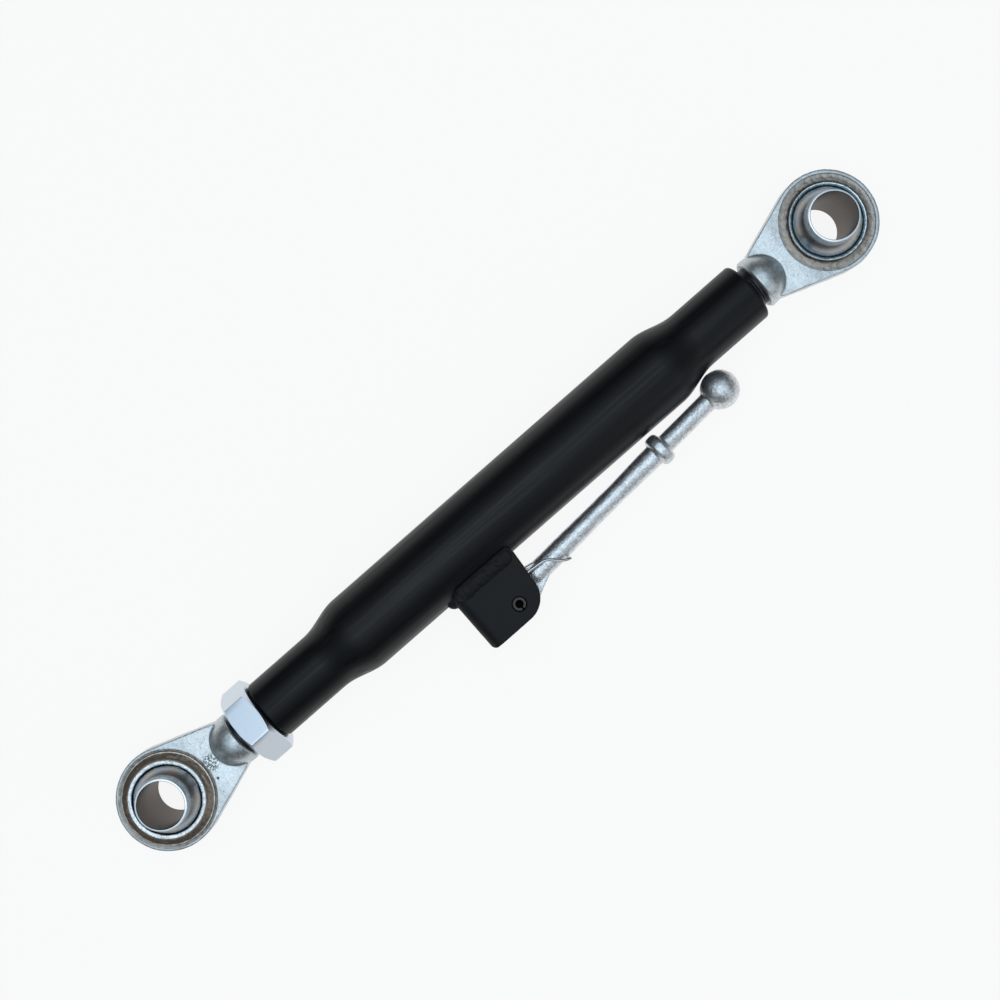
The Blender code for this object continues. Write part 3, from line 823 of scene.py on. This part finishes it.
for name, centre, side, race in (("lower", lowerEye, 1, lowerRace), ("upper", upperEye, -1, upperRace)):
    body, node = name + "_eye", name + "_eye_end"
    seat(makeEye(name, centre, side, race), body, node)
    seat(makeSocket(name, centre, race), body, node)
    for piece in makeRod(name, centre, side):
        seat(piece, body, node)
    steel = ballSteel(name + "BallSteel", centre)
    seat(makeBall(name, centre, steel), name + "_ball", name + "_ball")
    print(name, "eye made")


# Lock nut

nut = {
    "flats": 41 * mm,
    "height": 16 * mm,
    "turn": 10.35,  # degrees about its axis
    "chamfer": 30,  # degrees that its corners are turned down at each end
    "inset": 0.3 * mm,  # from the flats in to where that turning starts
    "bore": 27.6 * mm,
    "lead": 1 * mm,  # half the depth of the bore's chamfers
    "edge": 0.35 * mm,
    "sides": 160,
    "crease": 20,
}


def makeNut():
    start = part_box("lock_nut")[0][0]
    corner, flat = nut["flats"] / math.sqrt(3), nut["flats"] / 2
    bore, height, lead = nut["bore"] / 2, nut["height"], nut["lead"]
    angles = np.radians(nut["turn"] + 60 * np.arange(6))
    rows = [
        [(x, linkY - corner * math.cos(a), linkZ + corner * math.sin(a)) for a in angles]
        for x in (start, start + height)
    ]
    body = grid("lockNut", rows, (nutFinish,), capped=True)
    bevelled(body, nut["edge"])
    inner, over = flat - nut["inset"], corner + mm
    slope = math.tan(math.radians(nut["chamfer"])) * (over - flat + nut["inset"])
    profile = [(0, inner), (slope, over), (height - slope, over), (height, inner)]
    profile += [(height + lead, inner), (height + lead, bore + 2 * lead), (height - lead, bore)]
    profile += [(lead, bore), (-lead, bore + 2 * lead), (-lead, inner)]
    turning = turnedX("turning", profile, nut["sides"], (start, linkY, linkZ), joined=True)
    combine(body, turning, "INTERSECT")
    shaded(body.data, nut["crease"])
    finished(body, nutFinish)
    seat(body, "lock_nut", "lock_nut")


makeNut()
print("nut made")


# Bracket, with places measured from the tube's middle

bracket = {
    "back": 58.6 * mm,
    "reach": 55.8 * mm,
    "width": 26 * mm,
    "plate": 4.2 * mm,
    "bend": 7 * mm,
    "legInner": 16.2 * mm,
    "legOuter": 18 * mm,
    "legCorner": 14.5 * mm,
    "backCorner": 3.2 * mm,
    "hole": 8.16 * mm,
    "flare": 1.3 * mm,  # of the hole, 1 mm outside the plate
    "flareDepth": 0.3 * mm,
    "overrun": 5 * mm,  # of the bent plate, past the reach that it is cut to
    "bite": 0.2 * mm,  # how far the plate's cut goes into the tube
    "saddle": (-80 * mm, 10 * mm),  # ends of that cut
    "voxel": 0.42 * mm,
    "passes": 3,
    "lumps": [(12 * mm, 0.1 * mm), (3 * mm, 0.03 * mm)],
}


def atTube(x, y, z):
    return (tubeMiddle.x + x, tubeMiddle.y + y, tubeMiddle.z + z)


def bentPlate():
    # The section through the back's two bends, drawn out past the legs' ends
    outer, bend = bracket["width"] / 2, bracket["bend"]
    inner, inside = outer - bracket["plate"], bend - bracket["plate"]
    x = bend - bracket["back"]
    section = [(0, outer)] + arc(x, outer - bend, bend, 90, 180, 16)
    section += arc(x, bend - outer, bend, 180, 270, 16) + [(0, -outer)]
    section += [(0, -inner)] + arc(x, inside - inner, inside, 270, 180, 10)
    section += arc(x, inner - inside, inside, 180, 90, 10) + [(0, inner)]
    ends = (0, -bracket["reach"] - bracket["overrun"])
    rows = [[atTube(x, y, z) for x, z in section] for y in ends]
    return grid("handleBracket", rows, capped=True)


def sideView():
    # The outline that both legs are cut to
    outer = bracket["width"] / 2 + mm
    reach, corner, back = bracket["reach"], bracket["legCorner"], bracket["backCorner"]
    outline = [(-bracket["back"] - mm, 0)]
    outline += [(-bracket["legInner"], 0), (-bracket["legInner"], -tubeRadius)]
    outline += arc(-bracket["legOuter"] - corner, corner - reach, corner, 0, -90, 20)
    outline += arc(back - bracket["back"], back - reach, back, -90, -180, 12)
    outline += [(-bracket["back"] - mm, back - reach)]
    placed = [atTube(x, y, 0)[:2] for x, y in outline]
    return extruded("sideView", placed, linkZ - outer, linkZ + outer)


def makeBracket():
    body = bentPlate()
    combine(body, sideView(), "INTERSECT")
    (start, end), grip = bracket["saddle"], tubeRadius - bracket["bite"]
    saddle = [(start, 0), (start, grip), (end, grip), (end, 0)]
    combine(body, turnedX("saddle", saddle, 160, tubeMiddle), "DIFFERENCE")
    softened(body, bracket["voxel"], bracket["passes"])
    roughened(body, bracket["lumps"])
    outer, hole = bracket["width"] / 2, bracket["hole"] / 2
    half = [(hole, outer - bracket["flareDepth"])]
    half += [(hole + bracket["flare"], outer + mm), (0, outer + mm)]
    drilled(body, pivot, half, 64)
    finished(body, matte)
    seat(body, "barrel", "handle_bracket")


# Weld beads

weld = {
    "length": 38 * mm,
    "end": 17.4 * mm,
    "plateLeg": 7.6 * mm,
    "tubeLeg": 1.5 * mm,
    "crown": 3.2 * mm,
    "crownLean": -0.25,
    "blunt": (0.12, 0.1),  # shares of the bead in which its two ends grow to full size
    "backLength": 18 * mm,
    "backLeg": 3.8 * mm,
    "backCrown": 1.6 * mm,
    "backBlunt": (0.2, 0.2),
    "tip": 0.15,  # size at the very ends, before it is raised to the power of taper
    "taper": 0.6,
    "sunk": 0.6 * mm,  # how far the bead's hidden corner lies under both skins
    "skirt": 0.15,  # share of the way there at which toe and foot turn in
    "ripple": 2.6 * mm,
    "bow": 1.6 * mm,  # each ripple is a crescent
    "rise": 0.22 * mm,
    "swell": 0.6,  # below 1 a ripple rises fast and then levels out
    "waver": (0.25, 5 * mm),  # of the ripples' spacing: its height and length
    "lump": (0.5 * mm, 2.6 * mm),
    "wander": (0.16, 3.1 * mm),  # of the foot on the plate
    "stations": 190,
    "across": 20,
    "crease": 60,
}


def bentHalfWidth(x):
    past = min(0, x + bracket["back"] - bracket["bend"])
    return bracket["width"] / 2 + math.sqrt(bracket["bend"] ** 2 - past**2) - bracket["bend"]


def taperAt(share, blunt):
    # 1 along the bead, and less at its two ends
    first, last = blunt
    return min(1, share / first + weld["tip"], (1 - share) / last + weld["tip"]) ** weld["taper"]


def beadRow(corner, toe, foot, crown, along, seed):
    # Across the bead: under the skin at the corner, then over the crown from foot to toe
    sunk = corner + (corner - (toe + foot) / 2).normalized() * weld["sunk"]
    row = [toe + (sunk - toe) * weld["skirt"], sunk, foot + (sunk - foot) * weld["skirt"]]
    top = (toe + foot) / 2 + crown
    normal = crown.normalized()
    (waver, waverLength), (lump, lumpLength) = weld["waver"], weld["lump"]
    for i in range(weld["across"] + 1):
        share = i / weld["across"]
        bow = weld["bow"] * (2 * share - 1) ** 2
        shift = waver * noise.noise(Vector((along / waverLength, seed, 0)))
        phase = (along + bow) / weld["ripple"] + shift
        wave = ((phase % 1.0) ** weld["swell"] - weld["swell"]) * weld["rise"]
        bulge = noise.noise(Vector((along / lumpLength, share * 3, seed))) * lump
        inside = math.sin(math.pi * share) ** 0.5  # 0 at both edges of the bead
        row.append(bent(foot, top, toe, share) + normal * (wave + bulge) * inside)
    return row


def seatBead(name, rows, node):
    body = grid(name, rows, (matte,), capped=True, crease=weld["crease"])
    seat(body, "barrel", node)


def sideBead(name, side, node):
    rows = []
    wander, wanderLength = weld["wander"]
    crownward = Vector((0, weld["crownLean"], 1)).normalized()
    for i in range(weld["stations"] + 1):
        share = i / weld["stations"]
        x = -weld["end"] - weld["length"] * (1 - share)
        z = bentHalfWidth(x)
        y = -math.sqrt(tubeRadius**2 - z**2)
        taper = taperAt(share, weld["blunt"])
        angle = math.atan2(z, -y) + weld["tubeLeg"] / tubeRadius * (0.5 + 0.5 * taper)
        toe = Vector((x, -tubeRadius * math.cos(angle), tubeRadius * math.sin(angle)))
        leg = 1 + wander * noise.noise(Vector((x / wanderLength, side, 2)))
        foot = Vector((x, y - weld["plateLeg"] * leg * (0.4 + 0.6 * taper), z))
        row = beadRow(Vector((x, y, z)), toe, foot, crownward * weld["crown"] * taper, x, 1.0 + side)
        rows.append([atTube(p.x, p.y, side * p.z) for p in row])
    seatBead(name, rows, node)


def backBead():
    rows = []
    bend = bracket["bend"]
    flat = bracket["width"] / 2 - bend
    crownward = Vector((-1, -1, 0)).normalized()
    stations = weld["stations"] // 2
    for i in range(stations + 1):
        share = i / stations
        z = weld["backLength"] * (share - 0.5)
        past = max(0, abs(z) - flat)
        x = bend - bracket["back"] - math.sqrt(bend**2 - past**2)
        y = -math.sqrt(tubeRadius**2 - z**2)
        taper = taperAt(share, weld["backBlunt"])
        toe = Vector((x - weld["backLeg"] * taper, y, z))
        foot = Vector((x, y - weld["backLeg"] * taper, z))
        row = beadRow(Vector((x, y, z)), toe, foot, crownward * weld["backCrown"] * taper, z, 5.0)
        rows.append([atTube(*p) for p in row])
    seatBead("weldBack", rows, "weld_bead_back")


# Spring pin

pin = {
    "diameter": 8.2 * mm,
    "wall": 1.95 * mm,
    "slot": 1.5 * mm,
    "length": 24.6 * mm,
    "chamfer": 0.6 * mm,
    "chamferSlope": 1.3,
    "innerEdge": 0.2 * mm,
    # a near black plug below each end of the bore paints its shade
    "shadePlugGap": 0.25 * mm,
    "clog": [(0, 3 * mm), (0.5, 2.8 * mm), (1, 1.8 * mm)],  # (share of its radius, depth)
    "steps": 72,
}


def makePin():
    outer, half, cut, edge = pin["diameter"] / 2, pin["length"] / 2, pin["chamfer"], pin["innerEdge"]
    inner = outer - pin["wall"]
    section = [(inner, edge - half), (inner + edge, -half)]
    section += [(outer - cut, -half), (outer, cut * pin["chamferSlope"] - half)]
    section += mirrored(section)
    gap = math.asin(pin["slot"] / 2 / outer)
    rows = []
    for angle in np.linspace(gap - math.pi / 2, 1.5 * math.pi - gap, pin["steps"] + 1):
        away = Vector((math.cos(angle), math.sin(angle), 0))
        rows.append([pinMiddle + away * r + Vector((0, 0, z)) for r, z in section])
    body = grid("springPin", rows, (pinFinish,), capped=True, crease=30)
    seat(body, "barrel", "handle_pin")


def makePinBoreShade():
    # A near black plug a little below each end of the pin's bore: painted shade that makes the bore look
    # deep
    half, radius = pin["length"] / 2, pin["diameter"] / 2 - pin["shadePlugGap"]
    skin = [(radius * share, depth - half) for share, depth in pin["clog"]]
    body = turnedZ("pinBoreShadePlug", skin + mirrored(skin), 40, pinMiddle, (pinBoreShadeFinish,))
    seat(body, "barrel", "handle_pin")


makeBracket()
sideBead("weldTop", 1, "weld_bead_top")
sideBead("weldBottom", -1, "weld_bead_bottom")
backBead()
makePin()
makePinBoreShade()
print("bracket made")


# Handle, measured along its bar from the pin

handle = {
    "collarAt": 113.2 * mm,
    "rest": 1.86 * mm,  # between collar and tube
    "offset": 4.6 * mm,  # from the pin to the bar's own axis
    "root": 19.2 * mm,
    "thickness": 8 * mm,
    "edge": 0.8 * mm,
    "rootLength": 24 * mm,
    "hole": 8.6 * mm,
    "heel": 13.6 * mm,
    "nose": [(0.3, 0), (0.36, 0.6), (0.7, 1)],  # the bar's end, in root lengths and bar radii
    "barRoot": 12 * mm,
    "barWaist": 11 * mm,
    "waistShare": 0.58,
    "barEnd": 12.3 * mm,
    "barTip": 10.8 * mm,
    "collar": 18.2 * mm,
    "collarWidth": 7.8 * mm,
    "collarEdge": 2.7 * mm,
    "fillet": (0.6 * mm, 0.4 * mm),  # length and height of the corner beside the collar
    "knobAt": 159.3 * mm,
    "knob": 21.8 * mm,
    "sides": 72,
    "voxel": 0.4 * mm,
    "passes": 3,
    "lumps": [(5 * mm, 0.1 * mm), (1.4 * mm, 0.07 * mm)],
}


def handleTilt():
    drop = -(pinMiddle.y - tubeMiddle.y) - tubeRadius - handle["rest"] - handle["collar"] / 2
    reach = math.hypot(handle["collarAt"], handle["offset"])
    return math.asin(drop / reach) - math.atan2(handle["offset"], handle["collarAt"])


def fromPin(x, y):
    # A place beside the pin, x along the bar
    tilt = handleTilt()
    c, s = math.cos(tilt), math.sin(tilt)
    return (pinMiddle.x + c * x - s * y, pinMiddle.y + s * x + c * y)


def barProfile():
    root, waist, end, tip, knob, ring = (
        handle[key] / 2 for key in ("barRoot", "barWaist", "barEnd", "barTip", "knob", "collar")
    )
    length, half, edge = handle["rootLength"], handle["collarWidth"] / 2, handle["collarEdge"]
    collarStart, collarEnd = handle["collarAt"] - half, handle["collarAt"] + half
    middle = (length + collarStart) * handle["waistShare"]
    run, rise = handle["fillet"]
    profile = [(length * along, root * out) for along, out in handle["nose"]]
    profile += swage(length, middle, root, waist, 14)
    profile += swage(middle, collarStart - run, waist, end, 10)[1:]
    profile += [(collarStart, end + rise)]
    profile += arc(collarStart + edge, ring - edge, edge, 180, 90, 6)
    profile += arc(collarEnd - edge, ring - edge, edge, 90, 0, 6)
    profile += [(collarEnd, tip + rise), (collarEnd + run, tip)]
    meet = math.degrees(math.asin(tip / knob))
    return profile + arc(handle["knobAt"], 0, knob, 180 - meet, 0, 36)


def rootOutline():
    # Round the pin, along under the bar and back over it, with the heel last
    ring, bar = handle["root"] / 2, handle["barRoot"] / 2
    length, offset, heel = handle["rootLength"], handle["offset"], handle["heel"]
    outline = arc(0, 0, ring, 150, 280, 26)
    outline += [(length * 0.6, -4 * mm), (length * 0.95, offset - bar * 0.95), (length, offset - bar / 2)]
    outline += [(length, offset + bar / 2), (length * 0.85, offset + bar)]
    outline += [(ring * 1.3, heel * 0.93)] + arc(ring / 3, heel - ring / 3, ring / 3, 70, 130, 8)
    return [fromPin(x, y) for x, y in outline]


def makeHandle():
    half = handle["thickness"] / 2
    body = extruded("handleBody", rootOutline(), linkZ - half, linkZ + half, handle["edge"])
    start = (*fromPin(0, handle["offset"]), linkZ)
    profile = [(x, max(r, 0)) for x, r in barProfile()]
    combine(body, turnedX("bar", profile, handle["sides"], start, tilt=handleTilt()), "UNION")
    softened(body, handle["voxel"], handle["passes"])
    roughened(body, handle["lumps"])
    hole = handle["hole"] / 2
    drilled(body, pivot, [(hole, half + mm), (0, half + mm)], 64)
    finished(body, cast)
    seat(body, "handle", "handle")


makeHandle()
print("handle made")


# Double torsion spring: two coils round the pin with their fixed legs on the tube, and a bail that moves
# with the handle

spring = {
    "wire": 1.5 * mm,
    "turns": 2,
    "stack": 2.8 * mm,  # from the first turn of a coil to its last
    "gap": 0.25 * mm,
    "core": 4 * mm,  # radius of what the coils are wound round
    "restBack": 3 * mm,  # in front of the bracket's back, where the fixed leg ends
    "exit": 14.5 * mm,
    "rise": 9.8 * mm,
    "bailAt": 37 * mm,
    "crossing": 11 * mm,  # before the bail, where its leg passes the bar's side
    "shoulder": (3.5 * mm, 1.5 * mm),
    "bend": 2.2 * mm,
    "sides": 14,
    "steps": 48,
}


def smoothRoute(points, bend):
    route = [points[0]]
    for before, corner, after in zip(points, points[1:], points[2:]):
        into, away = before - corner, after - corner
        cut = min(bend, into.length / 2, away.length / 2)
        start, end = corner + into.normalized() * cut, corner + away.normalized() * cut
        route += [bent(start, corner, end, share) for share in np.linspace(0, 1, 9)]
    return route + [points[-1]]


def wireAlong(name, route):
    rows = []
    side = Vector((0, 0, 1))
    radius = spring["wire"] / 2
    angles = 2 * math.pi * np.arange(spring["sides"]) / spring["sides"]
    for i, point in enumerate(route):
        ahead = (route[min(i + 1, len(route) - 1)] - route[max(i - 1, 0)]).normalized()
        side = (side - ahead * side.dot(ahead)).normalized()
        other = ahead.cross(side)
        rows.append([point + side * radius * math.cos(a) + other * radius * math.sin(a) for a in angles])
    return grid(name, rows, (wireFinish,), capped=True, crease=50)


def joinAngle(centre, point, radius, side):
    # Where a straight leg from the point meets the coil, in degrees
    away = point - centre
    lean = math.acos(radius / math.hypot(away.x, away.y))
    return math.degrees(math.atan2(away.y, away.x) + side * lean)


def restPoint(low):
    # The end of the fixed leg, which rests on the tube in front of the bracket's back
    wire, gap = spring["wire"] / 2, spring["gap"]
    back = bracket["back"] - bracket["plate"] - spring["wire"] - spring["restBack"]
    y = -math.sqrt((tubeRadius + gap) ** 2 - low**2) - wire - gap
    return Vector((tubeMiddle.x - back, tubeMiddle.y + y, low))


def bailPoints(high):
    # The corners of the moving leg: out of the coil, past the bar, and across its far side
    wire, gap, bar = spring["wire"] / 2, spring["gap"], handle["barRoot"] / 2
    over = bar + wire + 2 * gap
    axisY = pinMiddle.y + handle["offset"] + spring["bailAt"] * math.tan(handleTilt())
    x, y = pinMiddle.x + spring["bailAt"], axisY - bar - wire - 2 * gap
    shoulderBack, shoulderRise = spring["shoulder"]
    return [
        Vector((pinMiddle.x + spring["exit"], pinMiddle.y + spring["rise"], high)),
        Vector((x - spring["crossing"], axisY + bar / 4, over)),
        Vector((x - shoulderBack, y + shoulderRise, over - wire)),
        Vector((x, y, over - 2 * wire)),
        Vector((x, y, 0)),
    ]


def makeSpring():
    # Half of the wire is laid out above the link's middle plane, and turned over for the rest
    wire, gap = spring["wire"] / 2, spring["gap"]
    coil = spring["core"] + 2 * gap + wire
    low = handle["thickness"] / 2 + gap + wire
    high = low + spring["stack"]
    centre = Vector((pinMiddle.x, pinMiddle.y, 0))
    rest, corners = restPoint(low), bailPoints(high)
    entry = joinAngle(centre, rest, coil, -1)
    leave = joinAngle(centre, corners[0], coil, 1) - 360 * spring["turns"]
    turns = []
    for share in np.linspace(0, 1, spring["steps"] * spring["turns"] + 1):
        a = math.radians(entry + (leave - entry) * share)
        up = low + (high - low) * share
        turns.append(centre + Vector((coil * math.cos(a), coil * math.sin(a), up)))
    leg = smoothRoute([turns[-1]] + corners, spring["bend"])
    level = Vector((0, 0, linkZ))
    across = leg + [p * Vector((1, 1, -1)) for p in reversed(leg[:-1])]
    seat(wireAlong("springBail", [p + level for p in across]), "handle", "handle_spring")
    for name, side in (("springCoilTop", 1), ("springCoilBottom", -1)):
        route = [p * Vector((1, 1, side)) + level for p in [rest] + turns]
        body = wireAlong(name, route)
        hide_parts("handle_spring")
        start = (centre.x, centre.y, linkZ + side * low)
        end = (centre.x, centre.y, linkZ + side * high)
        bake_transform(body)


makeSpring()
print("spring made")


# Floor, light and camera

studio = {
    "floorSize": 8.0,
    "whiteShare": 0.9,  # how much of the floor shows as plain white
    "skyRange": (0.58, 0.9),  # heights between which the horizon's colour turns to the zenith's
    "lamps": {  # power, size and place
        "softTop": (4.8, 1.2, (-0.1, 0.06, 1.7)),
        "softSide": (2.8, 1.0, (0.6, -1.35, 0.85)),
    },
}


def makeFloor():
    size = studio["floorSize"] / 2
    mesh = bpy.data.meshes.new("studioFloor")
    corners = [(-size, -size, 0), (size, -size, 0), (size, size, 0), (-size, size, 0)]
    mesh.from_pydata(corners, [], [(0, 1, 2, 3)])
    look = Finish("paleFloor")
    look.done("floor", rough=0.8, gloss=0.1)
    white = look.add("ShaderNodeEmission", None, {"Color": tone("white"), "Strength": 1.0})
    seen = 0
    for kind in ("Is Camera Ray", "Is Glossy Ray", "Is Transmission Ray"):
        seen = seen + look.add("ShaderNodeLightPath", out=kind)
    plain = Wire(look, look.shader.outputs[0])
    mixed = look.add("ShaderNodeMixShader", None, {0: seen * studio["whiteShare"], 1: plain, 2: white})
    look.put(look.tree.nodes["Material Output"].inputs["Surface"], mixed)
    mesh.materials.append(look.owner)
    newObject("studioFloor", mesh)


def makeSky():
    sky = Finish("studioWorld", bpy.data.worlds)
    bpy.context.scene.world = sky.owner
    place = sky.add("ShaderNodeTexCoord", out="Generated")
    up = sky.add("ShaderNodeSeparateXYZ", None, {0: place}, out="Z")
    shade = sky.blend(sky.ease(up, *studio["skyRange"]), "horizon", "zenith")
    sky.put(sky.shader.inputs["Color"], shade)


def makeLamps():
    for name, (power, width, place) in studio["lamps"].items():
        data = bpy.data.lights.new(name, "AREA")
        data.energy = power
        data.size = width
        data.color = colours["lamp"]
        lamp = newObject(name, data)
        lamp.location = place
        lamp.rotation_euler = (-lamp.location).to_track_quat("-Z", "Y").to_euler()


shot = {
    "height": 0.801,  # above the link's axis
    "beside": (4.6 * mm, 3.3 * mm),  # from the eyes' midpoint
    "turn": -41.2,
    "lens": 52.9,
    "sensor": 36,
    "near": 0.01,
}


def makeCamera():
    data = bpy.data.cameras.new("photoCamera")
    data.lens = shot["lens"]
    data.sensor_width = shot["sensor"]
    data.clip_start = shot["near"]
    camera = newObject("photoCamera", data)
    middle = (lowerEye + upperEye) / 2
    camera.location = middle + Vector((*shot["beside"], shot["height"]))
    camera.rotation_euler = (0, 0, math.radians(shot["turn"]))
    bpy.context.scene.camera = camera
    bpy.context.scene.view_settings.view_transform = "Standard"


makeFloor()
makeSky()
makeLamps()
makeCamera()
print("studio made")
